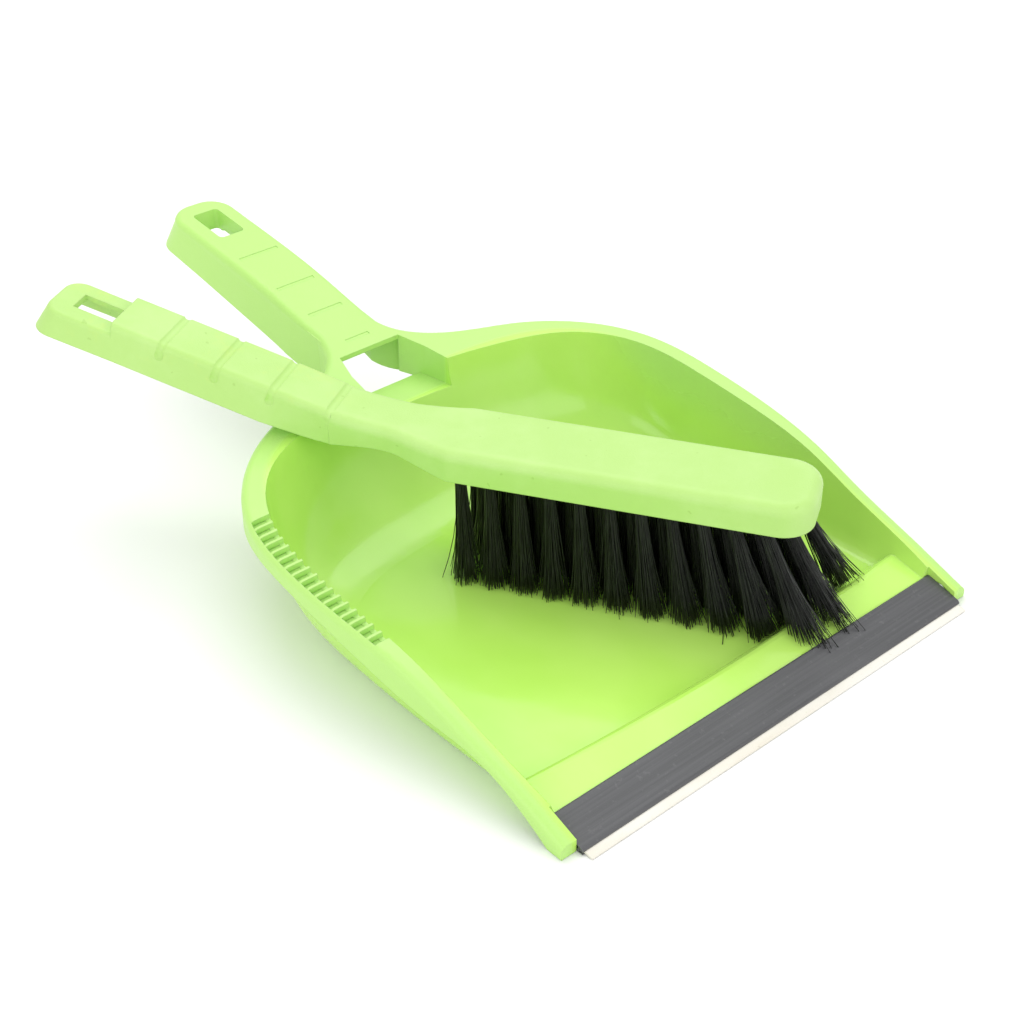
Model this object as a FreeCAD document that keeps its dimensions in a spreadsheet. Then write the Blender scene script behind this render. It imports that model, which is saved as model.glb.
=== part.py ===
import FreeCAD, Part
import Sketcher
import math
import os

# Dust pan with a two-part lip strip, and its hand brush standing on the pan's floor.
# All lengths are in mm. Pan sizes count from the lip's front edge: X across, Y towards the handle, Z up.
# Brush sizes count from the brush's nose: X along the brush with the handle at minus X, Z up from the tips.

V = FreeCAD.Vector
doc = FreeCAD.newDocument("dust_pan_and_brush")
dims = doc.addObject("Spreadsheet::Sheet", "dims")

PAN_SIZES = {
    "origin_back": 110,      # from the lip's front edge back to the row's origin
    "skin": 2.2,             # rim and handle top
    "wall": 2.0,             # bowl walls and outer skirt
    "floor_thick": 2.0,
    "draft_gap": 0.3,        # free space between the bristle tips and the pan
    "front_cut": 6.5,        # the walls start this far behind the lip's edge
    "edge_round": 3,         # top outer edge of rim and handle
    "handle_half": 14.8,
    "flare_start": 252,      # from here on the handle's walls start to lean outwards
    "flare_full": 275,
    "flare_meet": 3.7,       # they lean from this far below the handle's top
    "flare_top": 2.4,        # where the leaning bodies start, outside and inside
    "flare_top_inside": 0.5,
    "flare_deep": 24,
    "flare_side": 3.2,       # how far the sides and the end lean out over that depth
    "flare_back": 8.5,
    "handle_end": 371.5,
    "handle_corner": 12,
    "lip_front": 6,
    "lip_under": 1.0,
    "lip_top": 2.6,
    "seat_back": 20,
    "seat_top": 5.7,
    "crest_mid": 31.5,       # crest of the ramp, on the centre line
    "crest_bow": 4.5,        # and how much further back it lies at the walls
    "crest_top": 8.4,
    "crest_drop": 6.5,
    "ramp_skin": 1.7,
    "leg_back": 12,
    "strip_half": 101.5,
    "strip_back": 19.6,
    "strip_rise": 1.25,
    "strip_nose": 3.6,
    "strip_slot_low": 0.35,
    "strip_slot_top": 1.15,
    "strip_slot_back": 5.6,
    "strip_low": 0.1,
    "blade_half": 100.6,
    "comb_front": 99,
    "comb_pitch": 4.6,
    "comb_valley": 3.5,
    "comb_count": 17,
    "comb_depth": 2.2,
    "comb_pad": 4.4,
    "comb_edge": 1.6,
    "hang_back": 361,
    "hang_front": 338.5,
    "hang_half": 6.5,
    "hang_corner": 2.0,
    "hang_wall": 1.6,
    "hang_deep": 9.5,
    "hang_arch": 15,
    "hang_arch_rise": 3,
    "notch_back": 241,
    "notch_back_half": 15.5,
    "notch_mid": 228,
    "notch_mid_half": 19.5,
    "notch_front": 205,
    "notch_front_half": 23,
    "ledge_top": 40,
    "ledge_back": 231.5,
    "ledge_thick": 2.0,
    "mark_wide": 1.8,
    "mark_deep": 0.3,
}
BRUSH_SIZES = {
    "nose_x": 51.1,          # where the nose stands in the pan, and which way the brush lies
    "nose_y": 38.0,
    "brush_turn": -59.2,
    "bristle": 45.7,
    "head_long": 139.5,
    "head_half": 19,
    "head_top": 58.7,
    "nose_corner": 13,
    "neck_start": 163,
    "neck_half": 12.8,
    "grip_half": 12.6,       # at the grip's top face, before its edges are rounded
    "grip_flare": 214,       # where the walls' full lean is reached
    "grip_deep": 24,
    "grip_side": 4.1,        # how far the sides and the end lean out over that depth
    "grip_back": 8.0,
    "grip_reach": 305.5,
    "end_corner": 8,
    "bend_start": 189.5,
    "bend_top": 64.2,
    "bend_low": 49.6,
    "grip_end": 279,
    "grip_end_top": 88.4,
    "grip_end_low": 72.8,
    "step_down": 4.4,
    "tail_top": 92.4,
    "tail_low": 81,
    "round_over": 4.6,
    "grip_round": 3.4,
    "tail_round": 2.2,
    "shell": 2.1,
    "channel_start": 176,
    "groove_first": 189,
    "groove_pitch": 22.9,
    "groove_r": 2.4,
    "groove_deep": 0.75,
    "slot_half": 5.2,
    "slot_back": 299,
    "tuft_r": 2.3,
    "tuft_tip_r": 5.3,
    "tuft_root": 8,
    "tuft_collar": 1.3,
    "tuft_pitch": 11.8,
    "tuft_first": 135.5,
    "row_out": 13.2,
    "row_in": 4.4,
    "lean_back": 3,
    "lean_nose": 20,
    "staple_long": 4.0,
    "staple_thick": 0.5,
    "staple_high": 2.0,
    "staple_down": 2.6,
}
# Free curves, each as the points it runs through.
CURVES = {
    # height of the rim and handle top, as (y, z)
    "top_line": [(-14, -2.8), (0, 2.6), (15, 8.4), (30, 14.1), (60, 24.2), (84, 32.8), (110, 38), (150, 43.2),
                 (200, 50.8), (240, 55.6), (270, 61.4), (295, 67), (335, 73.2), (390, 81)],
    # lower edge of the outer skirt beside the bowl, and under the handle
    "skirt_line": [(3, -7), (15, 1), (27, 8.2), (40, 14), (52, 17), (66, 18.2), (82, 20), (100, 24.6),
                   (125, 31), (150, 35.6), (185, 38), (262, 38.6), (280, 43.4), (300, 47.6), (335, 54.4),
                   (390, 64)],
    # outer edge in plan, right half, from the front tip to the handle
    "outer_edge": [(108.4, 4), (108.3, 24), (108.8, 50), (110, 76), (112.3, 105), (113.4, 145), (107.6, 179),
                   (92.6, 201.5), (64, 221.5), (38, 231.5), (21.5, 243), (14.8, 266)],
    # inside of the bowl in plan, right half, at four heights
    "bowl_low": [(93.5, -12), (94.5, 70), (92, 118), (83, 148), (62, 165), (35, 171.5), (0, 174)],
    "bowl_foot": [(100, -12), (99.7, 30), (99.3, 70), (98, 130), (91, 163), (70, 183), (40, 191), (0, 194)],
    "bowl_side": [(101.8, -12), (102, 30), (102.3, 70), (102, 138), (95.8, 172), (75, 194), (44, 203.5),
                  (0, 207.5)],
    "bowl_high": [(104.5, -12), (105.5, 70), (105, 145), (99, 181), (79, 202), (47, 212.5), (0, 217.5)],
}
BOWL_HEIGHTS = {"bowl_low": 2, "bowl_foot": 7.5, "bowl_side": 22, "bowl_high": 70}
MARKS = {"mark_1": (319, 10), "mark_2": (292, 9.7), "mark_3": (271, 8.7), "mark_4": (249, 6)}

row = 0


def cell(alias, value):
    """Writes one driving dimension in the sheet."""
    global row
    row += 1
    dims.set(f"A{row}", alias)
    dims.set(f"B{row}", str(value))
    dims.setAlias(f"B{row}", alias)


for name, value in {**PAN_SIZES, **BRUSH_SIZES}.items():
    cell(name, value)
for name, value in BOWL_HEIGHTS.items():
    cell(f"{name}_z", value)
for name, points in {**CURVES, **{key: [pair] for key, pair in MARKS.items()}}.items():
    for index, (first, second) in enumerate(points):
        cell(f"{name}_{index}_a", first)
        cell(f"{name}_{index}_b", second)
doc.recompute()


def size(alias):
    """A driving dimension as a number."""
    return float(dims.get(alias))


def curve_points(name):
    """The points of one free curve, read back from the sheet."""
    count = len(CURVES[name])
    return [(size(f"{name}_{i}_a"), size(f"{name}_{i}_b")) for i in range(count)]


# ---------------------------------------------------------------- where the brush and its tufts stand

brush_place = FreeCAD.Placement(
    V(size("nose_x"), size("nose_y"), size("floor_thick") + size("draft_gap")),
    FreeCAD.Rotation(V(0, 0, 1), size("brush_turn")))


def pan_height(x, y):
    """Height of the pan's floor or ramp under a point, the highest within a tuft tip's reach."""
    reach = size("tuft_tip_r")
    crest = size("crest_mid") + size("crest_bow") * (x / size("strip_half")) ** 2
    foot = crest + size("crest_drop")
    if y - reach > foot:
        return size("floor_thick")
    if y + reach > crest:
        back = max(y - reach, crest)
        share = (back - crest) / (foot - crest)
        return size("crest_top") - share * (size("crest_top") - size("floor_thick"))
    share = (y + reach - size("seat_back")) / (crest - size("seat_back"))
    return size("seat_top") + share * (size("crest_top") - size("seat_top"))


def tuft_places():
    """For each tuft its name, the middle of its hole's mouth and the middle of its tip, from the nose."""
    pitch, first = size("tuft_pitch"), size("tuft_first")
    rows = [(-size("row_out"), 0.0), (-size("row_in"), 0.5), (size("row_in"), 0.0), (size("row_out"), 0.5)]
    places = []
    for row_number, (across, shift) in enumerate(rows, 1):
        for number in range(11):
            x = -first + (number + shift) * pitch
            share = (x + first) / first
            lean = size("lean_back") + size("lean_nose") * share ** 2.5
            spread = across * (0.24 + 0.3 * share ** 2)
            tip = V(x + lean, across + spread, 0)
            tilt = math.atan(math.hypot(lean, spread) / size("bristle"))
            ground = brush_place.multVec(tip)
            lift = pan_height(ground.x, ground.y) - size("floor_thick")
            if lift:
                lift += size("draft_gap")
            tip.z = lift + size("tuft_tip_r") * math.sin(tilt)
            places.append((f"tuft_{row_number}_{number + 1:02d}", V(x, across, size("bristle")), tip))
    return places


tuft_list = tuft_places()
for name, mouth, tip in tuft_list:
    cell(f"{name}_long", round((tip - mouth).Length, 2))
doc.recompute()

# ---------------------------------------------------------------- helpers for shapes and objects

def spline(points):
    """A smooth edge through the points."""
    curve = Part.BSplineCurve()
    curve.interpolate([V(*point) for point in points])
    return curve.toShape()


def line(*points):
    """Straight edges through the points."""
    ends = [V(*point) for point in points]
    return [Part.LineSegment(a, b).toShape() for a, b in zip(ends, ends[1:])]


def face(edges):
    """The flat face that the edges bound."""
    return Part.Face(Part.Wire(Part.__sortEdges__(edges)))


def feature(name, shape):
    """A document object that holds a free-form shape."""
    item = doc.addObject("Part::Feature", name)
    item.Shape = shape
    return item


def cut(name, base, tool):
    item = doc.addObject("Part::Cut", name)
    item.Base = base
    item.Tool = tool
    return item


def joined(kind, name, items):
    """A Part::MultiFuse or Part::MultiCommon of the items."""
    item = doc.addObject(kind, name)
    item.Shapes = items
    return item


def fuse(name, *items):
    return joined("Part::MultiFuse", name, list(items))


def common(name, *items):
    return joined("Part::MultiCommon", name, list(items))


def box(name, sides):
    """A Part::Box with its sides bound to the sheet."""
    item = doc.addObject("Part::Box", name)
    for side, formula in zip(("Length", "Width", "Height"), sides):
        item.setExpression(side, formula)
    return item


def leaning_bar(stations, half, reach, corner, deep, lean_side, lean_back, place):
    """A handle's body whose walls lean outwards with depth, from its top plane down.

    In its own frame X is across, Y along and Z square to the top plane. The stations are
    places along the bar with the share of the full sideways lean there.
    """
    wires = []
    for share in (0, 1):
        z = -share * deep
        side = [(half + share * lean * lean_side, y, z) for y, lean in stations]
        wide = half + share * lean_side
        end = reach + share * lean_back
        bend = corner * math.sqrt(0.5)
        right = line(*side, (wide, end - corner, z))
        middle = V(wide - corner + bend, end - corner + bend, z)
        round_end = Part.Arc(V(wide, end - corner, z), middle, V(wide - corner, end, z)).toShape()
        left = [edge.mirror(V(0, 0, 0), V(1, 0, 0)) for edge in right + [round_end]]
        back = line((wide - corner, end, z), (corner - wide, end, z))
        front = line((-side[0][0], side[0][1], z), side[0])
        wires.append(Part.Wire(Part.__sortEdges__(right + [round_end] + left + back + front)))
    bar = Part.makeLoft(wires, True, True)
    bar.Placement = place
    return bar


def rounded(name, base, radius, chosen):
    """A Part::Fillet of the base's edges that the test picks."""
    doc.recompute()
    picked = [number for number, edge in enumerate(base.Shape.Edges, 1) if chosen(edge)]
    item = doc.addObject("Part::Fillet", name)
    item.Base = base
    item.Edges = [(number, radius, radius) for number in picked]
    return item


def prism(name, plane, corners, pad, middle=False):
    """A PartDesign body: a pad of the polygon whose corners are sheet formulas."""
    body = doc.addObject("PartDesign::Body", name)
    sketch = body.newObject("Sketcher::SketchObject", f"{name}_sketch")
    support = [item for item in body.Origin.OriginFeatures if item.Role == plane][0]
    sketch.AttachmentSupport = (support, [""])
    sketch.MapMode = "FlatFace"
    # Starting places near the final ones keep the solver on the right side.
    start = [tuple(float(dims.evalExpression(formula)) for formula in corner) for corner in corners]
    count = len(corners)
    for here, there in zip(start, start[1:] + start[:1]):
        sketch.addGeometry(Part.LineSegment(V(*here, 0), V(*there, 0)))
    for index in range(count):
        sketch.addConstraint(Sketcher.Constraint("Coincident", index, 2, (index + 1) % count, 1))
    for index, corner in enumerate(corners):
        for kind, formula, value in zip(("DistanceX", "DistanceY"), corner, start[index]):
            number = sketch.addConstraint(Sketcher.Constraint(kind, -1, 1, index, 1, value))
            sketch.setExpression(f"Constraints[{number}]", formula)
    solid = body.newObject("PartDesign::Pad", f"{name}_pad")
    solid.Profile = sketch
    solid.Midplane = middle
    solid.setExpression("Length", pad)
    body.Tip = solid
    return body


# ---------------------------------------------------------------- free-form solids of the pan

FAR = 160
TALL = 130


def mirrored(edges):
    """The edges with their mirror images across the centre plane."""
    return edges + [edge.mirror(V(0, 0, 0), V(1, 0, 0)) for edge in edges]


def side_solid(edges):
    """A solid as wide as the pan whose side view is bounded by the edges."""
    return face(edges).extrude(V(2 * FAR, 0, 0)).translated(V(-FAR, 0, 0))


def under_top(drop):
    """Everything below the top line, lowered by drop."""
    line_points = curve_points("top_line")
    top = spline([(0, y, z - drop) for y, z in line_points])
    (y_front, z_front), (y_back, z_back) = line_points[0], line_points[-1]
    rest = line((0, y_back, z_back - drop), (0, y_back, -FAR), (0, y_front, -FAR), (0, y_front, z_front - drop))
    return side_solid([top] + rest)


def under_skirt():
    """Everything below the skirt's lower edge."""
    points = curve_points("skirt_line")
    low = spline([(0, y, z) for y, z in points])
    (y_front, z_front), (y_back, z_back) = points[0], points[-1]
    rest = line((0, y_back, z_back), (0, y_back, -FAR), (0, y_front, -FAR), (0, y_front, z_front))
    return side_solid([low] + rest)


def pushed_out(points, distance):
    """Half-outline points moved outwards, square to the outline."""
    moved = []
    last = points[-1]
    beyond = (last[0], last[1] + 1) if last[0] else (-points[-2][0], points[-2][1])
    ends = [(points[0][0], points[0][1] - 1)] + points + [beyond]
    for before, here, after in zip(ends, ends[1:], ends[2:]):
        run = V(after[0] - before[0], after[1] - before[1], 0).normalize()
        moved.append((here[0] + run.y * distance, here[1] - run.x * distance))
    return moved


def outer_prism(inset, base=-10.0):
    """The outer edge in plan, moved in by inset, as a tall prism."""
    points = pushed_out(curve_points("outer_edge"), -inset)
    points[0] = (points[0][0], size("front_cut") + inset)
    half = size("handle_half") - inset
    points[-1] = (half, points[-1][1])
    back = size("handle_end") - inset
    corner = size("handle_corner") - inset
    bend = corner * math.sqrt(0.5)
    side = spline([(x, y, 0) for x, y in points])
    grip = line((half, points[-1][1], 0), (half, back - corner, 0))
    middle = V(half - corner + bend, back - corner + bend, 0)
    round_end = Part.Arc(V(half, back - corner, 0), middle, V(half - corner, back, 0)).toShape()
    ends = line((0, back, 0), (half - corner, back, 0)) + line((0, points[0][1], 0), (*points[0], 0))
    plan = face(mirrored([side, round_end] + grip + ends))
    return plan.extrude(V(0, 0, TALL)).translated(V(0, 0, base))


def bowl(distance, lower):
    """The inside of the bowl, moved out by distance and with its floor lower by lower."""
    rings = []
    for name, height in BOWL_HEIGHTS.items():
        right = pushed_out(curve_points(name), distance)
        left = [(-x, y) for x, y in right[-2::-1]]
        z = size(f"{name}_z") - lower * (1 - height / TALL) ** 2
        curve = spline([(x, y, z) for x, y in right + left])
        front = line((left[-1][0], left[-1][1], z), (right[0][0], right[0][1], z))
        rings.append(Part.Wire([curve] + front))
    return Part.makeLoft(rings, True, False)


def ramp_ring(x):
    """The ramp's side view at x, as a wire."""
    crest = size("crest_mid") + size("crest_bow") * (x / size("strip_half")) ** 2
    skin = size("ramp_skin")
    front = size("lip_front")
    top = size("crest_top")
    points = [(front, size("lip_under")), (front, size("lip_top")), (size("seat_back"), size("seat_top")),
              (crest - 3, top - 0.55), (crest - 1.2, top - 0.1), (crest + 0.3, top - 0.15),
              (crest + 1.6, top - 0.9), (crest + size("crest_drop"), size("floor_thick")),
              (crest + size("crest_drop") + 6, size("floor_thick")), (crest + size("crest_drop") + 6, 0),
              (crest + size("crest_drop") - 2 * skin, 0), (crest - skin / 2, size("crest_top") - skin),
              (size("leg_back") + 0.5, size("lip_under"))]
    return Part.Wire(line(*[(x, y, z) for y, z in points + points[:1]]))


def slab(y_low, y_high, half, z_low=-5.0, z_high=120.0, x_middle=0.0):
    """A box across the pan, centred on x_middle."""
    return Part.makeBox(2 * half, y_high - y_low, z_high - z_low, V(x_middle - half, y_low, z_low))


def notch_prism(grow, back, z_low, z_high):
    """The brush slot's plan, grown sideways, from its front to back, between two heights."""
    stations = ("notch_back", "notch_mid", "notch_front")
    right = [(size(f"{name}_half") + grow, size(name)) for name in stations]
    if back < right[0][1]:
        share = (right[0][1] - back) / (right[0][1] - right[1][1])
        right[0] = (right[0][0] + share * (right[1][0] - right[0][0]), back)
    points = right + [(-x, y) for x, y in reversed(right)]
    edges = line(*[(x, y, z_low) for x, y in points + points[:1]])
    return face(edges).extrude(V(0, 0, z_high - z_low))


def hang_prism(grow, z_low, z_high):
    """The hanging hole's plan, grown all round, between two heights."""
    half = size("hang_half") + grow
    front = size("hang_front") - grow
    back = size("hang_back") + grow
    block = Part.makeBox(2 * half, back - front, z_high - z_low, V(-half, front, z_low))
    upright = [edge for edge in block.Edges if abs(edge.tangentAt(edge.FirstParameter).z) > 0.9]
    return block.makeFillet(size("hang_corner") + grow, upright)


# ---------------------------------------------------------------- dust pan

skin = size("skin")
wall = size("wall")
plan_outer = feature("plan_outer", outer_prism(0, 0))
plan_inner = feature("plan_inner", outer_prism(wall))
top_outer = feature("top_outer", under_top(0))
top_inner = feature("top_inner", under_top(skin))
rim_block = common("rim_block", plan_outer, top_outer)


top_curve = spline([(0, y, z) for y, z in curve_points("top_line")])


def top_height(y):
    """Height of the top line at y."""
    upright = Part.LineSegment(V(0, y, -50), V(0, y, 150)).toShape()
    return top_curve.distToShape(upright)[1][0][0].z


def on_top_edge(edge):
    """True for the edges between the top face and the outer side, away from the front tips."""
    middle = edge.valueAt((edge.FirstParameter + edge.LastParameter) / 2)
    return middle.y > size("front_cut") + 0.5 and abs(top_height(middle.y) - middle.z) < 0.3


# Below its rounded edge the handle's wall leans outwards.
handle_rise = math.atan2(top_height(size("handle_end")) - top_height(size("flare_full")),
                         size("handle_end") - size("flare_full"))


def pan_flare(inset, front, top):
    """The handle's leaning body, moved in by inset, from a given place and a given depth."""
    along = math.cos(handle_rise)
    lift = (size("flare_meet") - top) / size("flare_deep")
    places = [(front, 0.0), (size("flare_start"), 0.1), (size("flare_full"), 1.0)]
    stations = [((y - size("flare_full")) / along, lean) for y, lean in places]
    half = size("handle_half") - inset - lift * size("flare_side")
    reach = (size("handle_end") - inset - lift * size("flare_back") - size("flare_full")) / along
    place = FreeCAD.Placement(V(0, size("flare_full"), top_height(size("flare_full")) - top),
                              FreeCAD.Rotation(V(1, 0, 0), math.degrees(handle_rise)))
    return leaning_bar(stations, half, reach, size("handle_corner") - inset,
                       size("flare_deep"), size("flare_side"), size("flare_back"), place)


rim_round = rounded("rim_round", rim_block, size("edge_round"), on_top_edge)
flare_outer = feature("flare_outer", pan_flare(0, size("flare_start") - 1, size("flare_top")))
flare_inner = feature("flare_inner", pan_flare(wall, size("flare_start") - 8, size("flare_top_inside")))
rim_full = fuse("rim_full", rim_round, flare_outer)
rim_inside = common("rim_inside", plan_inner, top_inner)
flare_inside = common("flare_inside", flare_inner, top_inner)
rim_hollow = cut("rim_hollow", rim_full, fuse("rim_insides", rim_inside, flare_inside))
below_skirt = feature("below_skirt", under_skirt())
rim_shell = cut("rim_shell", rim_hollow, below_skirt)

bowl_outer = feature("bowl_outer", bowl(wall, size("floor_thick")))
bowl_inner = feature("bowl_inner", bowl(0, 0))
bowl_front = feature("bowl_front", slab(size("front_cut"), 300, FAR))
bowl_trim = common("bowl_trim", bowl_outer, top_outer, bowl_front)

# Extra depth under the comb, so that its valleys stay closed.
comb_back = size("comb_front") + size("comb_pitch") * size("comb_count")
comb_left = slab(size("comb_front") - 3, comb_back + 3, 20, x_middle=-112)
comb_body = under_top(size("comb_pad") - 2).cut(under_top(size("comb_pad") + 0.5))
comb_block = feature("comb_block", comb_left.common(comb_body).common(outer_prism(wall / 2)))

# Side walls and ledge of the slot that stores the brush.
ledge_low = size("ledge_top") - size("ledge_thick")
slot_walls = notch_prism(wall, size("notch_back"), ledge_low, TALL)
slot_walls = slot_walls.cut(notch_prism(0, 300, size("ledge_top"), TALL)).common(under_top(skin / 2))
ledge_keep = notch_prism(0, size("ledge_back"), ledge_low - 2, TALL)
ledge_void = notch_prism(0, size("notch_back"), ledge_low - 1, TALL).cut(ledge_keep)
slot_block = feature("slot_block", slot_walls.cut(ledge_void))

# Wall round the hanging hole, with an arched lower edge.
collar = hang_prism(size("hang_wall"), 30, TALL).common(under_top(skin / 2)).cut(under_top(size("hang_deep")))
arch_middle = (size("hang_front") + size("hang_back")) / 2
arch_height = top_height(arch_middle) - size("hang_deep") - size("hang_arch") + size("hang_arch_rise")
arch = Part.makeCylinder(size("hang_arch"), 2 * FAR, V(-FAR, arch_middle, arch_height), V(1, 0, 0))
hang_block = feature("hang_block", collar.cut(arch))

pan_solid = fuse("pan_solid", rim_shell, bowl_trim, comb_block, slot_block, hang_block)

# Everything that is taken away: the bowl's inside, the slot, the hole, the comb and the grip marks.
notch_open = feature("notch_open", notch_prism(0, size("notch_back"), size("ledge_top"), TALL))
hang_open = feature("hang_open", hang_prism(0, 20, TALL))
comb_tops = [size("comb_front") + size("comb_pitch") * number for number in range(int(size("comb_count")))]
comb_plan = outer_prism(size("comb_edge")).cut(under_top(size("comb_depth")))
valleys = [slab(y, y + size("comb_valley"), 12, x_middle=-107).common(comb_plan) for y in comb_tops]
comb_open = feature("comb_open", Part.makeCompound(valleys))
marks = []
for name in MARKS:
    middle, half, wide = size(f"{name}_0_a"), size(f"{name}_0_b"), size("mark_wide")
    marks.append(slab(middle - wide / 2, middle + wide / 2, half).cut(under_top(size("mark_deep"))))
marks_open = feature("marks_open", Part.makeCompound(marks))
tips_open = feature("tips_open", slab(-40, size("front_cut"), FAR))

# The floor's front and the foot of the walls make way for the ramp and the lip strip.
floor_front = size("crest_mid") + size("crest_drop")
ramp_open = feature("ramp_open", slab(-10, floor_front, 92, -5, size("floor_thick") + 1))
seat_open = prism("seat_open", "YZ_Plane", [
    ("-5", "-5"), ("-5", "60"), ("dims.strip_back + 0.2", "60"), ("dims.strip_back + 0.2", "-5"),
], "2 * dims.strip_half + 0.2", True)
openings = fuse("openings", bowl_inner, notch_open, hang_open, comb_open,
                marks_open, tips_open, ramp_open, seat_open)
pan_walls = cut("pan_walls", pan_solid, openings)
ramp_loft = feature("ramp_loft", Part.makeLoft([ramp_ring(x) for x in (-106, 0, 106)], True, False))
ramp = common("ramp", ramp_loft, bowl_outer)
dustpan = fuse("dustpan", pan_walls, ramp)


# ---------------------------------------------------------------- lip strip and soft blade

strip_top = ("dims.seat_top - (dims.seat_back - dims.strip_back) * (dims.seat_top - dims.lip_top)"
             " / (dims.seat_back - dims.lip_front)")
lip_strip = prism("lip_strip", "YZ_Plane", [
    ("dims.strip_back", strip_top),
    ("dims.strip_back", strip_top + " + dims.strip_rise - 0.4"),
    ("dims.strip_back - 0.7", strip_top + " + dims.strip_rise - 0.2"),
    ("dims.strip_nose + 0.8", "dims.lip_top - 0.1"),
    ("dims.strip_nose", "dims.lip_top - 0.9"),
    ("dims.strip_nose", "dims.strip_slot_top"),
    ("dims.strip_slot_back", "dims.strip_slot_top"),
    ("dims.strip_slot_back", "dims.strip_slot_low"),
    ("dims.strip_nose", "dims.strip_slot_low"),
    ("dims.strip_nose", "dims.strip_low"),
    ("dims.leg_back", "dims.strip_low"),
    ("dims.leg_back", "dims.lip_under"),
    ("dims.lip_front", "dims.lip_under"),
    ("dims.lip_front", "dims.lip_top"),
], "2 * dims.strip_half", True)
lip_blade = prism("lip_blade", "YZ_Plane", [
    ("dims.strip_slot_back", "dims.strip_slot_low"),
    ("dims.strip_slot_back", "dims.strip_slot_top"),
    ("dims.strip_nose", "dims.strip_slot_top"),
    ("0.5", "0.7"), ("0", "0.4"), ("0", "0"), ("0.8", "0"),
    ("dims.strip_nose", "dims.strip_slot_low"),
], "2 * dims.blade_half", True)

# ---------------------------------------------------------------- brush block

block_plan = prism("block_plan", "XY_Plane", [
    ("0", "dims.head_half"), ("-dims.head_long", "dims.head_half"), ("-dims.neck_start", "dims.neck_half"),
    ("-dims.bend_start", "dims.neck_half"), ("-dims.bend_start", "-dims.neck_half"),
    ("-dims.neck_start", "-dims.neck_half"), ("-dims.head_long", "-dims.head_half"), ("0", "-dims.head_half"),
], "120")


def at_corner(reach, half):
    """A test for the upright edges at a distance behind the nose and to either side."""
    def test(edge):
        start, end = edge.valueAt(edge.FirstParameter), edge.valueAt(edge.LastParameter)
        upright = abs(start.x - end.x) + abs(start.y - end.y) < 0.01
        return upright and abs(start.x + reach) < 0.1 and abs(abs(start.y) - half) < 0.1
    return test


plan_nose = rounded("plan_nose", block_plan, size("nose_corner"), at_corner(0, size("head_half")))
plan_neck = rounded("plan_neck", plan_nose, 30, at_corner(size("neck_start"), size("neck_half")))
plan_head = rounded("plan_head", plan_neck, 7, at_corner(size("head_long"), size("head_half")))


def long_solid(edges, half):
    """A solid as wide as the brush, or narrower, whose side view is bounded by the edges."""
    return face(edges).extrude(V(0, 2 * half, 0)).translated(V(0, -half, 0))


def eased(points, start_run, end_run):
    """A smooth edge through the points that starts and ends along the given directions."""
    curve = Part.BSplineCurve()
    curve.interpolate(Points=[V(*point) for point in points],
                      InitialTangent=V(*start_run), FinalTangent=V(*end_run))
    return curve.toShape()


def head_side():
    """The side view of the head and the neck."""
    head, bend, bristle, top = size("head_long"), size("bend_start"), size("bristle"), size("head_top")
    neck_top = eased([(-head, 0, top), (-head - 26, 0, top + 2.0), (-bend, 0, size("bend_top"))],
                     (-20, 0, 0), (-20, 0, 20 * grip_rise))
    neck_low = eased([(-head, 0, bristle), (-head - 29, 0, bristle + 5.2), (-bend, 0, size("bend_low"))],
                     (-14, 0, 2), (-14, 0, -1))
    cut_end = line((-bend, 0, size("bend_top")), (-bend, 0, size("bend_low")))
    nose = line((-head, 0, bristle), (0, 0, bristle), (0, 0, top), (-head, 0, top))
    return [neck_top, neck_low] + cut_end + nose


def polygon(corners):
    """A closed side view through the corners."""
    return line(*[(x, 0, z) for x, z in corners + corners[:1]])


bend, low = size("bend_start"), size("bend_low")
grip, reach = size("grip_end"), size("grip_reach")
grip_rise = (size("grip_end_top") - size("bend_top")) / (grip - bend)
grip_angle = math.atan(grip_rise)
grip_place = FreeCAD.Placement(
    V(-bend, 0, size("bend_top")),
    FreeCAD.Rotation(V(0, 1, 0), math.degrees(grip_angle)) * FreeCAD.Rotation(V(0, 0, 1), 90))


def brush_bar(inset, front):
    """The brush handle's leaning body, moved in by inset and starting at a given reach."""
    places = [(front, 0.0), (bend, 0.0), (size("grip_flare"), 1.0)]
    stations = [((x - bend) / math.cos(grip_angle), lean) for x, lean in places]
    end = (reach - inset - bend) / math.cos(grip_angle)
    return leaning_bar(stations, size("grip_half") - inset, end, size("end_corner") - inset,
                       size("grip_deep"), size("grip_side"), size("grip_back"), grip_place)


tail_high = size("grip_end_top") - size("step_down")
head_view = feature("head_view", long_solid(head_side(), 40))
grip_view = feature("grip_view", long_solid(polygon([
    (1 - bend, size("bend_top") - grip_rise), (-grip, size("grip_end_top")), (-grip, size("grip_end_low")),
    (-bend - 13, low + 2.6), (-bend - 5, low + 0.7), (1 - bend, low)]), 40))
tail_view = feature("tail_view", long_solid(polygon([
    (4 - grip, tail_high - 1.1), (-reach - 10, size("tail_top") + 1.6), (-reach - 10, size("tail_low") + 1.2),
    (-grip, size("grip_end_low")), (4 - grip, size("grip_end_low"))]), 40))
bar_outer = feature("bar_outer", brush_bar(0, bend - 6))
head_block = common("head_block", plan_head, head_view)
grip_block = common("grip_block", bar_outer, grip_view)
tail_block = common("tail_block", bar_outer, tail_view)


def along_top(x_back, x_front, lowest):
    """A test for the edges of the top face between two distances, not those across the brush."""
    def test(edge):
        middle = edge.valueAt((edge.FirstParameter + edge.LastParameter) / 2)
        start, end = edge.valueAt(edge.FirstParameter), edge.valueAt(edge.LastParameter)
        level = abs(start.x - end.x) < 0.05 and abs(start.y + end.y) < 0.05
        across = level and x_back + 3 < middle.x < -1
        return x_back < middle.x < x_front and lowest(middle.x) < min(start.z, end.z) and not across
    return test


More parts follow.
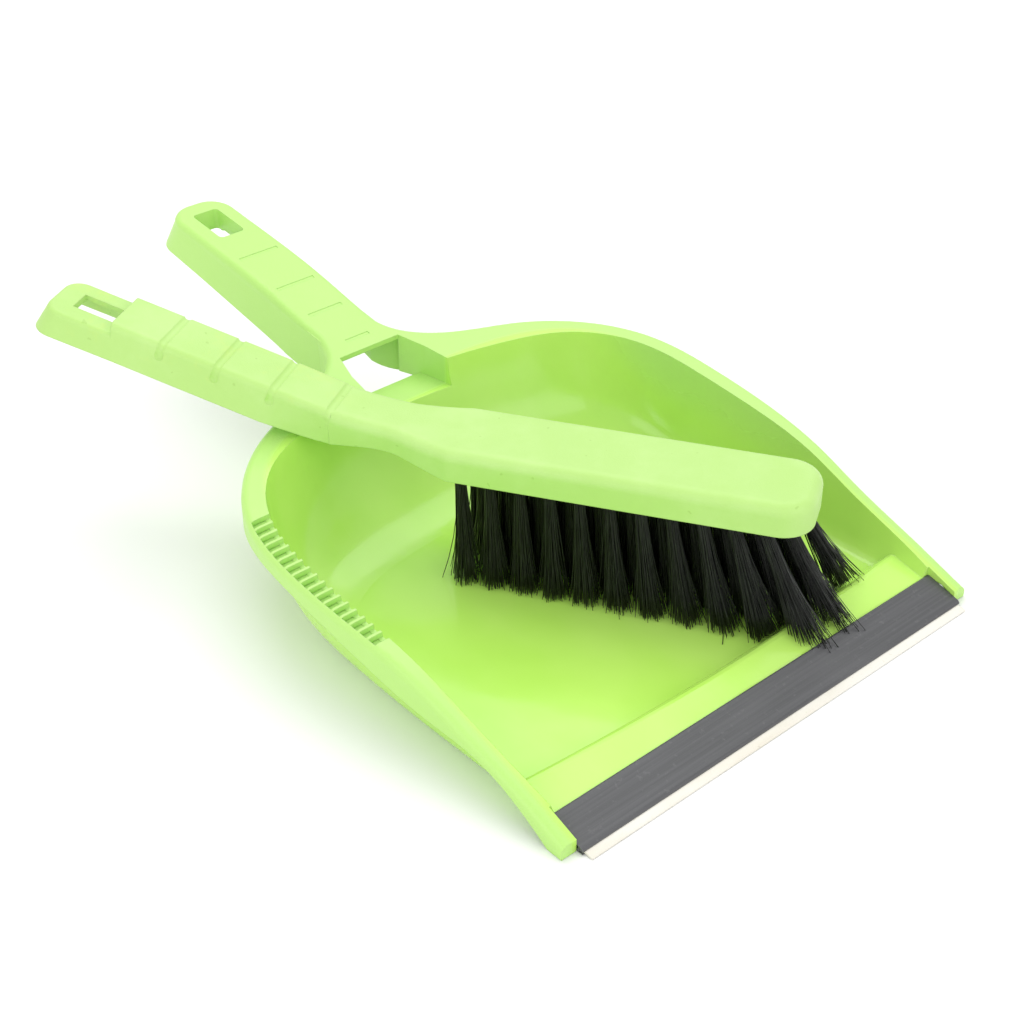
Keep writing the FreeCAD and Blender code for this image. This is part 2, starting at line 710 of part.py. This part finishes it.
def above_head(x):
    """A height between the underside and the top of the head and the neck."""
    return (size("bristle") + size("head_top")) / 2 + 3


def above_grip(x):
    """A height a little below the handle's top face at x."""
    return size("bend_top") + (-x - bend) * grip_rise - 9


head_round = rounded("head_round", head_block, size("round_over"), along_top(1 - bend, 0.5, above_head))
grip_round = rounded("grip_round", grip_block, size("grip_round"), along_top(1 - grip, -bend, above_grip))
tail_round = rounded("tail_round", tail_block, size("tail_round"),
                     along_top(-reach - 10, 3 - grip, above_grip))
block_whole = fuse("block_whole", head_round, grip_round, tail_round)

# The handle is an upside-down channel, open below.
channel_view = prism("channel_view", "XZ_Plane", [
    ("-dims.channel_start", "30"), ("-dims.channel_start", "dims.head_top - 0.4"),
    ("-dims.bend_start", "dims.bend_top - dims.shell"),
    ("-dims.grip_end - 2", "dims.grip_end_top - dims.step_down - dims.shell"),
    ("-dims.grip_reach - 10", "dims.tail_top - dims.shell + 1.4"),
    ("-dims.grip_reach - 10", "30"),
], "60", True)
bar_inner = feature("bar_inner", brush_bar(size("shell"), size("channel_start") - 5))
channel = common("channel", bar_inner, channel_view)
hang_slot = prism("hang_slot", "XY_Plane", [
    ("-dims.slot_back", "-dims.slot_half"), ("-dims.grip_end", "-dims.slot_half"),
    ("-dims.grip_end", "dims.slot_half"), ("-dims.slot_back", "dims.slot_half"),
], "120")


def groove_tool(distance):
    """A rod bent over the grip's section, which leaves a shallow groove where it dips in."""
    radius, over = size("groove_r"), size("groove_r") - size("groove_deep")
    corner = size("grip_round")
    inner = size("grip_half") + 0.6 - corner
    outer = inner + corner + over
    bend_out = (corner + over) * math.sqrt(0.5)
    down = -corner - 1.6
    y = (distance - bend) / math.cos(grip_angle)
    rise = line((-outer, y, down), (-outer, y, -corner))
    middle = V(-inner - bend_out, y, bend_out - corner)
    left = Part.Arc(V(-outer, y, -corner), middle, V(-inner, y, over)).toShape()
    top = line((-inner, y, over), (inner, y, over))
    right = [edge.mirror(V(0, 0, 0), V(1, 0, 0)) for edge in rise + [left]]
    path = Part.Wire(Part.__sortEdges__(rise + [left] + top + right))
    ring = Part.Wire(Part.makeCircle(radius, V(-outer, y, down), V(0, 0, 1)))
    rod = path.makePipeShell([ring], True, True)
    balls = [Part.makeSphere(radius, V(x, y, down)) for x in (-outer, outer)]
    rod = rod.fuse(balls)
    rod.Placement = grip_place
    return rod


doc.recompute()
grooved = block_whole.Shape.cut(channel.Shape).cut(hang_slot.Shape)
for number in range(4):
    grooved = grooved.cut(groove_tool(size("groove_first") + number * size("groove_pitch")))
block_grooved = feature("block_grooved", grooved)

# ---------------------------------------------------------------- tufts and their staples

tufts, staples, hole_tools = [], [], []
for name, mouth, tip in tuft_list:
    turn = FreeCAD.Rotation(V(0, 0, 1), tip - mouth)
    root = doc.addObject("Part::Cylinder", f"{name}_root")
    root.setExpression("Radius", "dims.tuft_r")
    root.setExpression("Height", "dims.tuft_root + dims.tuft_collar")
    root.Placement = FreeCAD.Placement(mouth - turn.multVec(V(0, 0, size("tuft_root"))), turn)
    flare = doc.addObject("Part::Cone", f"{name}_flare")
    flare.setExpression("Radius1", "dims.tuft_r")
    flare.setExpression("Radius2", "dims.tuft_tip_r")
    flare.setExpression("Height", f"dims.{name}_long - dims.tuft_collar")
    flare.Placement = FreeCAD.Placement(mouth + turn.multVec(V(0, 0, size("tuft_collar"))), turn)
    whole = fuse(f"{name}_whole", root, flare)
    staple = box(f"{name}_staple", ("dims.staple_long", "dims.staple_thick", "dims.staple_high"))
    deep = size("tuft_root") + size("staple_high") - size("staple_down")
    corner = V(-size("staple_long") / 2, -size("staple_thick") / 2, -deep)
    staple.Placement = FreeCAD.Placement(mouth + turn.multVec(corner), turn)
    hole = doc.addObject("Part::Cylinder", f"{name}_hole")
    hole.setExpression("Radius", "dims.tuft_r")
    hole.setExpression("Height", "dims.tuft_root + dims.tuft_collar")
    hole.Placement = root.Placement
    tuft = cut(name, whole, staple)
    tuft.Placement = brush_place
    tufts.append(tuft)
    staples.append(staple)
    hole_tools.append(hole)

staple_anchors = doc.addObject("Part::Compound", "staple_anchors")
staple_anchors.Links = staples
staple_anchors.Placement = brush_place
brush_block = cut("brush_block", block_grooved, fuse("all_holes", *hole_tools))
brush_block.Placement = brush_place

# ---------------------------------------------------------------- place, check and write the pieces

nodes = [dustpan, lip_strip, lip_blade, brush_block, staple_anchors] + tufts
shift = FreeCAD.Placement(V(0, -size("origin_back"), 0), FreeCAD.Rotation())
for node in nodes:
    node.Placement = shift.multiply(node.Placement)
    node.Label = node.Name
doc.recompute()
for item in doc.Objects:
    troubles = [word for word in item.State if word in ("Invalid", "Error")]
    if troubles:
        raise RuntimeError(f"{item.Name} is {troubles}")
for node in nodes:
    if node.Shape.isNull() or not node.Shape.isValid():
        raise RuntimeError(f"{node.Name} has no valid shape")
    count = len(node.Shape.Solids)
    if count != (len(staples) if node is staple_anchors else 1):
        raise RuntimeError(f"{node.Name} has {count} solids")

os.makedirs("parts", exist_ok=True)
for node in nodes:
    node.Shape.exportStep(f"parts/{node.Label}.step")
print(f"{len(nodes)} pieces written")
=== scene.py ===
import math
import random

import bpy
from mathutils import Matrix, Vector
from mathutils.bvhtree import BVHTree


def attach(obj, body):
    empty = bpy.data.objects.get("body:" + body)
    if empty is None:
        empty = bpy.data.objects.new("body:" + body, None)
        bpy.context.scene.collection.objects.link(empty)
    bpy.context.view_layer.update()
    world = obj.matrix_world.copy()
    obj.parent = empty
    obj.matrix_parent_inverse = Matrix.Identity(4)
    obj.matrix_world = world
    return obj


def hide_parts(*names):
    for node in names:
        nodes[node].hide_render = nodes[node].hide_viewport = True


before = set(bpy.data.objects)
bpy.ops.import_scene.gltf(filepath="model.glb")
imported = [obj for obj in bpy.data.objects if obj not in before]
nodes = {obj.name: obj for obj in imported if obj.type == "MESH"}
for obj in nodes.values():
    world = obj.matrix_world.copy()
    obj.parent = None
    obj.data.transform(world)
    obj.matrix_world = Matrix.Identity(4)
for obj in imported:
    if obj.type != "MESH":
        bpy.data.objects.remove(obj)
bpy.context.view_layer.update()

# A dust pan with a two-part lip strip, and its hand brush standing in it on black bristles.
# The moulded parts are the CAD nodes with better materials; every tuft becomes a bundle of bristles.

MM = 0.001
scene = bpy.context.scene

TUFT_ROWS = 4
TUFTS_PER_ROW = 11
BRISTLES_PER_TUFT = 150
BRISTLE_RADIUS = 0.185 * MM
BRISTLE_SIDES = 3
BRISTLE_STEPS = (0.0, 0.12, 0.34, 0.58, 0.8, 1.0)
GOLDEN_TURN = 2.39996        # the angle, in radians, that spreads points evenly over a disc

HOLE_RADIUS = 2.15 * MM      # a bundle's radius at the hole and at the tips
FLARE_RADIUS = 6.0 * MM
ROOT_DEPTH = 8 * MM          # how deep a CAD tuft sits in its hole
SHOWN_DEPTH = 1.2 * MM       # how deep the bristles start
ROOTS_ABOVE = 52 * MM        # heights that part the tufts' roots from their tips
TIPS_BELOW = 30 * MM

TIGHT_SHARE = 0.94           # the share of bristles that keep close to their place
TIGHT_SHAKE = 0.7 * MM
LOOSE_SHAKE = 1.7 * MM
BOW_SHAKE = 0.30             # in mm
NOSE_FAN = 2.2 * MM          # how far the tips near the nose are swept towards it
NOSE_FAN_MOST = 2.4
STRAY_SHARE = 0.06           # bristles that stick out behind, in the tufts nearest the handle
STRAY_REACH = (2, 6)         # in mm
LEAST_GAP = 0.25 * MM        # from a tip to the pan

SHED_FROM = Vector((0.013, -0.063, 0))
SHED_TO = Vector((0.024, -0.0505, 0))
SHED_BOW = Vector((0.75, -0.66, 0)) * 1.1 * MM

FLOOR_HALF = 4.0
FLOOR_TOP = -0.0002          # just under the pan, so that the two faces don't meet
LIGHT_AIM = (0, 0, 0.03)
CAMERA_PLACE = (-0.4038, -0.4076, 0.4203)
CAMERA_FORWARD = (0.556, 0.6175, -0.5563)
CAMERA_RIGHT = (0.743, -0.669, 0)
CAMERA_LENS = 63.28125       # on a sensor 36 mm wide


# ---------------------------------------------------------------- node helpers

def new_material(name):
    """A material with one Principled shader, and that shader."""
    material = bpy.data.materials.new(name)
    material.use_nodes = True
    return material, material.node_tree.nodes["Principled BSDF"]


class Web:
    """Short ways to add nodes to one material."""

    def __init__(self, material):
        self.nodes = material.node_tree.nodes
        self.links = material.node_tree.links
        self.place = self.nodes.new("ShaderNodeTexCoord").outputs["Object"]

    def put(self, socket, value):
        if isinstance(value, bpy.types.NodeSocket):
            self.links.new(value, socket)
        else:
            socket.default_value = value

    def math(self, kind, a, b=0.0, clamp=False):
        node = self.nodes.new("ShaderNodeMath")
        node.operation = kind
        node.use_clamp = clamp
        for socket, value in zip(node.inputs, (a, b)):
            self.put(socket, value)
        return node.outputs[0]

    def stretched(self, scale, turn=0.0):
        """The place, scaled apart along each axis after a turn about Z."""
        node = self.nodes.new("ShaderNodeMapping")
        node.inputs["Scale"].default_value = scale
        node.inputs["Rotation"].default_value = (0, 0, turn)
        self.links.new(self.place, node.inputs["Vector"])
        return node.outputs[0]

    def noise(self, scale, detail=3.0, roughness=0.55, at=None):
        node = self.nodes.new("ShaderNodeTexNoise")
        node.inputs["Scale"].default_value = scale
        node.inputs["Detail"].default_value = detail
        node.inputs["Roughness"].default_value = roughness
        self.links.new(at or self.place, node.inputs["Vector"])
        return node.outputs["Fac"]

    def ramp(self, value, low, high, to_low=0.0, to_high=1.0):
        """The value carried smoothly from one range to another."""
        node = self.nodes.new("ShaderNodeMapRange")
        node.interpolation_type = "SMOOTHSTEP"
        ends = {"From Min": low, "From Max": high, "To Min": to_low, "To Max": to_high}
        for name, number in ends.items():
            self.put(node.inputs[name], number)
        self.links.new(value, node.inputs["Value"])
        return node.outputs["Result"]

    def mix(self, share, a, b):
        """A colour between two."""
        node = self.nodes.new("ShaderNodeMix")
        node.data_type = "RGBA"
        self.put(node.inputs["Factor"], share)
        for name, value in (("A", a), ("B", b)):
            socket = [s for s in node.inputs if s.name == name and s.type == "RGBA"][0]
            self.put(socket, value if isinstance(value, bpy.types.NodeSocket) else (*value, 1.0))
        return [s for s in node.outputs if s.type == "RGBA"][0]

    def split(self, vector):
        node = self.nodes.new("ShaderNodeSeparateXYZ")
        self.links.new(vector, node.inputs[0])
        return node.outputs

    def edges(self, radius):
        """1 on sharp edges and 0 away from them."""
        bevel = self.nodes.new("ShaderNodeBevel")
        bevel.samples = 6
        bevel.inputs["Radius"].default_value = radius
        shape = self.nodes.new("ShaderNodeNewGeometry")
        dot = self.nodes.new("ShaderNodeVectorMath")
        dot.operation = "DOT_PRODUCT"
        self.links.new(bevel.outputs["Normal"], dot.inputs[0])
        self.links.new(shape.outputs["Normal"], dot.inputs[1])
        return self.ramp(dot.outputs["Value"], 0.99, 0.80)

    def bump(self, height, distance, strength=1.0, below=None):
        node = self.nodes.new("ShaderNodeBump")
        node.inputs["Distance"].default_value = distance
        self.put(node.inputs["Strength"], strength)
        self.links.new(height, node.inputs["Height"])
        if below is not None:
            self.links.new(below, node.inputs["Normal"])
        return node.outputs["Normal"]


def soft_edge(web, radius):
    """A normal that rounds the sharp edges off."""
    node = web.nodes.new("ShaderNodeBevel")
    node.samples = 6
    node.inputs["Radius"].default_value = radius
    return node.outputs["Normal"]


# ---------------------------------------------------------------- materials

def pan_plastic():
    """Lime polypropylene: polished inside the bowl, finely grained on the rim, the skirt and the handle."""
    material, shader = new_material("lime_pan_plastic")
    web = Web(material)
    place = web.split(web.place)
    across = web.math("ABSOLUTE", place["X"])
    behind = web.math("MAXIMUM", place["Y"], 0.0)
    side = web.math("POWER", web.math("DIVIDE", across, 0.1035), 3.5)
    back = web.math("POWER", web.math("DIVIDE", behind, 0.1065), 3.5)
    inside = web.ramp(web.math("ADD", side, back), 1.06, 0.94)

    cloud = web.noise(14, 3)
    flow = web.noise(30, 4, 0.6, web.stretched((1.0, 0.16, 0.5)))
    deep, fresh = (0.480, 0.830, 0.120), (0.540, 0.870, 0.160)
    colour = web.mix(web.ramp(cloud, 0.3, 0.7), deep, fresh)
    colour = web.mix(web.ramp(flow, 0.45, 0.75, 0.0, 0.25), colour, (0.58, 0.88, 0.20))
    outside = web.math("SUBTRACT", 1.0, inside)
    colour = web.mix(web.math("MULTIPLY", outside, 0.85), colour, (0.46, 0.755, 0.200))
    # Painted highlight: the sharp edges are painted paler lime, standing in for light catching them.
    painted_edge_highlight = web.math("MULTIPLY", web.edges(0.5 * MM), 0.30)
    colour = web.mix(painted_edge_highlight, colour, (0.66, 0.90, 0.36))
    web.put(shader.inputs["Base Color"], colour)

    smudge = web.noise(38, 4, 0.65)
    polished = web.ramp(smudge, 0.35, 0.75, 0.13, 0.22)
    grained = web.ramp(smudge, 0.3, 0.8, 0.36, 0.46)
    gloss = web.nodes.new("ShaderNodeMix")
    web.put(gloss.inputs["Factor"], inside)
    web.put(gloss.inputs["A"], grained)
    web.put(gloss.inputs["B"], polished)
    web.put(shader.inputs["Roughness"], gloss.outputs["Result"])
    shader.inputs["IOR"].default_value = 1.49

    waves = web.bump(web.noise(22, 2, 0.4), 0.9 * MM, 0.35, soft_edge(web, 0.45 * MM))
    scratch = web.noise(260, 2, 0.5, web.stretched((1.0, 0.03, 0.3), 0.5))
    lines = web.ramp(scratch, 0.66, 0.74)
    marked = web.bump(lines, 0.02 * MM, web.math("MULTIPLY", inside, 0.5), waves)
    grain = web.noise(1500, 2, 0.6)
    web.put(shader.inputs["Normal"],
            web.bump(grain, 0.10 * MM, web.math("SUBTRACT", 1.0, inside, clamp=True), marked))
    return material


def brush_plastic():
    """Matte lime plastic with a fine grain, faint clouds, and warmer stains beside the grip's grooves."""
    material, shader = new_material("lime_brush_plastic")
    web = Web(material)
    cloud = web.noise(26, 5, 0.62)
    colour = web.mix(web.ramp(cloud, 0.35, 0.68), (0.455, 0.720, 0.195), (0.500, 0.755, 0.240))
    grip = web.math("MULTIPLY", web.ramp(web.split(web.place)["Z"], 0.062, 0.074), 0.30)
    stain = web.math("MULTIPLY", web.ramp(web.noise(60, 5, 0.7), 0.52, 0.72), grip)
    colour = web.mix(stain, colour, (0.62, 0.76, 0.16))
    speck = web.ramp(web.noise(330, 1, 0.4), 0.76, 0.80, 0.0, 0.35)
    colour = web.mix(speck, colour, (0.28, 0.50, 0.08))
    # Painted highlight: the sharp edges are painted paler lime, standing in for light catching them.
    colour = web.mix(web.math("MULTIPLY", web.edges(0.6 * MM), 0.35), colour, (0.70, 0.92, 0.40))
    web.put(shader.inputs["Base Color"], colour)
    web.put(shader.inputs["Roughness"], web.ramp(web.noise(45, 4, 0.6), 0.3, 0.75, 0.42, 0.56))
    shader.inputs["IOR"].default_value = 1.49
    soft = web.bump(web.noise(60, 2, 0.5), 0.25 * MM, 0.4, soft_edge(web, 0.6 * MM))
    web.put(shader.inputs["Normal"], web.bump(web.noise(1400, 2, 0.6), 0.11 * MM, 0.9, soft))
    return material


def strip_plastic():
    """Dark grey extrusion with fine lines along its length, scuffed paler in spots, and a painted highlight
    along its edges.
    """
    material, shader = new_material("grey_strip")
    web = Web(material)
    lines = web.noise(900, 3, 0.6, web.stretched((0.012, 1.0, 1.0)))
    patches = web.noise(35, 4, 0.6, web.stretched((0.35, 1.0, 1.0)))
    colour = web.mix(web.ramp(lines, 0.35, 0.7), (0.072, 0.073, 0.077), (0.092, 0.093, 0.098))
    colour = web.mix(web.ramp(patches, 0.5, 0.75, 0.0, 0.5), colour, (0.115, 0.115, 0.120))
    scuff = web.math("MULTIPLY", web.ramp(web.noise(420, 3, 0.6), 0.60, 0.72), 0.35)
    colour = web.mix(scuff, colour, (0.15, 0.15, 0.155))
    # Painted highlight: the edges are painted pale grey, standing in for light catching them.
    colour = web.mix(web.math("MULTIPLY", web.edges(0.4 * MM), 0.5), colour, (0.25, 0.25, 0.26))
    web.put(shader.inputs["Base Color"], colour)
    web.put(shader.inputs["Roughness"], web.ramp(patches, 0.3, 0.8, 0.36, 0.50))
    shader.inputs["IOR"].default_value = 1.5
    web.put(shader.inputs["Normal"], web.bump(lines, 0.06 * MM, 0.6, soft_edge(web, 0.3 * MM)))
    return material


def blade_plastic():
    """Cream soft plastic, a little stained in patches."""
    material, shader = new_material("cream_blade")
    web = Web(material)
    patches = web.noise(60, 4, 0.6, web.stretched((0.3, 1.0, 1.0)))
    colour = web.mix(web.ramp(patches, 0.35, 0.75), (0.84, 0.815, 0.74), (0.76, 0.72, 0.61))
    dirt = web.ramp(web.noise(500, 3, 0.6), 0.64, 0.76, 0.0, 0.4)
    colour = web.mix(dirt, colour, (0.52, 0.48, 0.38))
    web.put(shader.inputs["Base Color"], colour)
    web.put(shader.inputs["Roughness"], web.ramp(patches, 0.3, 0.8, 0.50, 0.65))
    web.put(shader.inputs["Normal"],
            web.bump(web.noise(700, 2, 0.5), 0.08 * MM, 0.5, soft_edge(web, 0.25 * MM)))
    return material


def bristle_plastic():
    """Black filament with a faint green-grey cast that changes from bristle to bristle."""
    material, shader = new_material("black_bristle")
    web = Web(material)
    tone = web.noise(900, 2, 0.5, web.stretched((1.0, 1.0, 0.12)))
    colour = web.mix(web.ramp(tone, 0.35, 0.7), (0.0065, 0.0075, 0.006), (0.020, 0.025, 0.017))
    web.put(shader.inputs["Base Color"], colour)
    web.put(shader.inputs["Roughness"], web.ramp(tone, 0.3, 0.75, 0.30, 0.46))
    shader.inputs["IOR"].default_value = 1.5
    return material


def staple_metal():
    """Drawn wire, dulled in patches."""
    material, shader = new_material("staple_wire")
    web = Web(material)
    patches = web.noise(700, 3, 0.6)
    colour = web.mix(web.ramp(patches, 0.35, 0.7), (0.62, 0.62, 0.62), (0.45, 0.44, 0.42))
    web.put(shader.inputs["Base Color"], colour)
    web.put(shader.inputs["Roughness"], web.ramp(patches, 0.3, 0.75, 0.28, 0.5))
    shader.inputs["Metallic"].default_value = 1.0
    return material


def repaint(node, material):
    """Gives a CAD node one material on all its faces."""
    piece = nodes[node]
    for place in piece.material_slots:
        place.material = material
    if not piece.material_slots:
        piece.data.materials.append(material)


black = bristle_plastic()
repaint("dustpan", pan_plastic())
repaint("brush_block", brush_plastic())
repaint("lip_strip", strip_plastic())
repaint("lip_blade", blade_plastic())
repaint("staple_anchors", staple_metal())


# ---------------------------------------------------------------- bristles

pan_mesh = nodes["dustpan"].data
pan_ground = BVHTree.FromPolygons([v.co for v in pan_mesh.vertices], [p.vertices for p in pan_mesh.polygons])
BRUSH_TURN = math.radians(-59.2)
NOSE_RUN = Vector((math.cos(BRUSH_TURN), math.sin(BRUSH_TURN), 0))


def ground_height(place):
    """Height of the pan's floor or ramp under a point."""
    above = Vector((place.x, place.y, 35 * MM))
    hit = pan_ground.ray_cast(above, Vector((0, 0, -1)))[0]
    return hit.z if hit is not None else 2 * MM


def ring_middle(node, wanted):
    """The middle of the end disc whose face directions pass a test."""
    mesh = nodes[node].data
    corners = {v for p in mesh.polygons if wanted(p) for v in p.vertices}
    spots = [mesh.vertices[v].co for v in corners]
    low = Vector([min(s[i] for s in spots) for i in range(3)])
    high = Vector([max(s[i] for s in spots) for i in range(3)])
    return (low + high) / 2


def tuft_ends(node):
    """The middles of a CAD tuft's root disc and tip disc."""
    root = ring_middle(node, lambda p: p.normal.z > 0.8 and p.center.z > ROOTS_ABOVE)
    tip = ring_middle(node, lambda p: p.normal.z < -0.8 and p.center.z < TIPS_BELOW)
    return root, tip


def add_tube(verts, faces, points, radius):
    """Adds one bristle through the points, closed at its tip."""
    first = len(verts)
    run = (points[-1] - points[0]).normalized()
    side = run.cross(Vector((0.3, 0.8, 0.1))).normalized()
    other = run.cross(side)
    for index, point in enumerate(points):
        wide = radius * (0.8 if index == len(points) - 1 else 1.0)
        for turn in range(BRISTLE_SIDES):
            angle = 2 * math.pi * turn / BRISTLE_SIDES
            verts.append(point + (side * math.cos(angle) + other * math.sin(angle)) * wide)
    for ring in range(len(points) - 1):
        for turn in range(BRISTLE_SIDES):
            a = first + ring * BRISTLE_SIDES + turn
            b = first + ring * BRISTLE_SIDES + (turn + 1) % BRISTLE_SIDES
            faces.append((a, b, b + BRISTLE_SIDES, a + BRISTLE_SIDES))
    last = first + (len(points) - 1) * BRISTLE_SIDES
    faces.append(tuple(last + turn for turn in range(BRISTLE_SIDES)))


def bristle_points(start, along, end, bow, depth):
    """Points from the hole to the tip: straight out first, then easing over to the tip."""
    straight = along * (end - start).length
    points = [start - along * depth]
    for share in BRISTLE_STEPS[1:]:
        ease = share ** 0.9
        place = start + straight * share * (1 - ease) + (end - start) * share * ease
        points.append(place + bow * math.sin(math.pi * share))
    return points


def piece_from(name, verts, faces, material):
    """A smooth mesh object."""
    mesh = bpy.data.meshes.new(name)
    mesh.from_pydata(verts, [], faces)
    mesh.materials.append(material)
    mesh.shade_smooth()
    piece = bpy.data.objects.new(name, mesh)
    scene.collection.objects.link(piece)
    return piece


def make_tuft(row, number):
    """A bundle of bristles in place of one CAD tuft."""
    node = f"tuft_{row}_{number:02d}"
    dice = random.Random(f"bundle {row} {number}")
    root, tip = tuft_ends(node)
    along = (tip - root).normalized()
    mouth = root + along * ROOT_DEPTH
    reach = (tip - mouth).length
    side = along.cross(Vector((0, 0, 1)).cross(NOSE_RUN)).normalized()
    other = along.cross(side).normalized()
    nose_share = (number - 1) / (TUFTS_PER_ROW - 1)
    verts, faces = [], []
    for count in range(BRISTLES_PER_TUFT):
        spread = math.sqrt((count + 0.5) / BRISTLES_PER_TUFT)
        angle = count * GOLDEN_TURN + dice.uniform(-0.25, 0.25)
        inner = (side * math.cos(angle) + other * math.sin(angle)) * spread
        start = mouth + inner * HOLE_RADIUS
        loose = TIGHT_SHAKE if dice.random() < TIGHT_SHARE else LOOSE_SHAKE
        offset = inner * FLARE_RADIUS * dice.uniform(0.86, 1.08)
        offset += side * dice.gauss(0, loose) + other * dice.gauss(0, loose)
        offset += NOSE_RUN * min(dice.expovariate(1.0), NOSE_FAN_MOST) * NOSE_FAN * nose_share ** 3
        if number == 1 and dice.random() < STRAY_SHARE:
            offset -= NOSE_RUN * dice.uniform(*STRAY_REACH) * MM
        end = mouth + along * reach + offset
        run = (end - start).normalized()
        gap = min(0.15 + dice.expovariate(1.4), 3.5) * MM + LEAST_GAP
        # The first step brings the tip near the pan, and the second allows for the ramp's slope.
        for _ in range(2):
            end += run * ((end.z - ground_height(end) - gap) / -run.z)
        bow = (side * dice.gauss(0, BOW_SHAKE) + other * dice.gauss(0, BOW_SHAKE)) * MM
        points = bristle_points(start, along, end, bow, SHOWN_DEPTH)
        add_tube(verts, faces, points, BRISTLE_RADIUS * dice.uniform(0.9, 1.08))
    bundle = piece_from(f"bristles_{row}_{number:02d}", verts, faces, black)
    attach(bundle, "brush")
    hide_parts(node)


def make_shed_bristle():
    """One bristle that has come loose and lies on the pan's floor."""
    points = []
    for share in BRISTLE_STEPS:
        place = SHED_FROM.lerp(SHED_TO, share) + SHED_BOW * math.sin(math.pi * share)
        place.z = ground_height(place) + BRISTLE_RADIUS
        points.append(place)
    verts, faces = [], []
    add_tube(verts, faces, points, BRISTLE_RADIUS)
    shed = piece_from("bristle_shed", verts, faces, black)
    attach(shed, "pan")


for row in range(1, TUFT_ROWS + 1):
    for number in range(1, TUFTS_PER_ROW + 1):
        make_tuft(row, number)
make_shed_bristle()


# ---------------------------------------------------------------- floor, lights and camera

def make_floor():
    """A plain pale floor under the pan."""
    mesh = bpy.data.meshes.new("floor")
    corners = [(-1, -1), (1, -1), (1, 1), (-1, 1)]
    mesh.from_pydata([(x * FLOOR_HALF, y * FLOOR_HALF, FLOOR_TOP) for x, y in corners], [], [(0, 1, 2, 3)])
    material, shader = new_material("pale_floor")
    shader.inputs["Base Color"].default_value = (0.92, 0.92, 0.92, 1)
    shader.inputs["Roughness"].default_value = 0.9
    shader.inputs["Specular IOR Level"].default_value = 0.1
    mesh.materials.append(material)
    floor = bpy.data.objects.new("floor", mesh)
    scene.collection.objects.link(floor)


def softbox(name, place, size, power):
    """A white panel light that faces the object, with its size in metres and its power in watts."""
    light = bpy.data.lights.new(name, "AREA")
    light.shape = "RECTANGLE"
    light.size, light.size_y = size
    light.energy = power
    lamp = bpy.data.objects.new(name, light)
    lamp.location = place
    lamp.rotation_euler = (Vector(LIGHT_AIM) - Vector(place)).to_track_quat("-Z", "Y").to_euler()
    scene.collection.objects.link(lamp)


make_floor()
softbox("key_above", (0.35, 0.42, 1.05), (1.1, 0.9), 6.0)
softbox("fill_left", (-1.1, -0.1, 0.55), (0.7, 0.9), 3.2)
softbox("fill_front", (0.1, -1.2, 0.6), (1.2, 0.6), 3.6)

world = bpy.data.worlds.new("studio")
world.use_nodes = True
sky = world.node_tree.nodes["Background"]
sky.inputs["Color"].default_value = (1.0, 1.0, 1.0, 1)
sky.inputs["Strength"].default_value = 0.84
scene.world = world
scene.view_settings.view_transform = "Standard"

camera_data = bpy.data.cameras.new("camera")
camera_data.sensor_width = 36
camera_data.lens = CAMERA_LENS
camera_data.clip_start = 0.01
camera = bpy.data.objects.new("camera", camera_data)
forward = Vector(CAMERA_FORWARD).normalized()
right = Vector(CAMERA_RIGHT).normalized()
up = right.cross(forward).normalized()
turn = Matrix((right, up, -forward)).transposed().to_4x4()
camera.matrix_world = Matrix.Translation(CAMERA_PLACE) @ turn
scene.collection.objects.link(camera)
scene.camera = camera

bpy.context.view_layer.update()
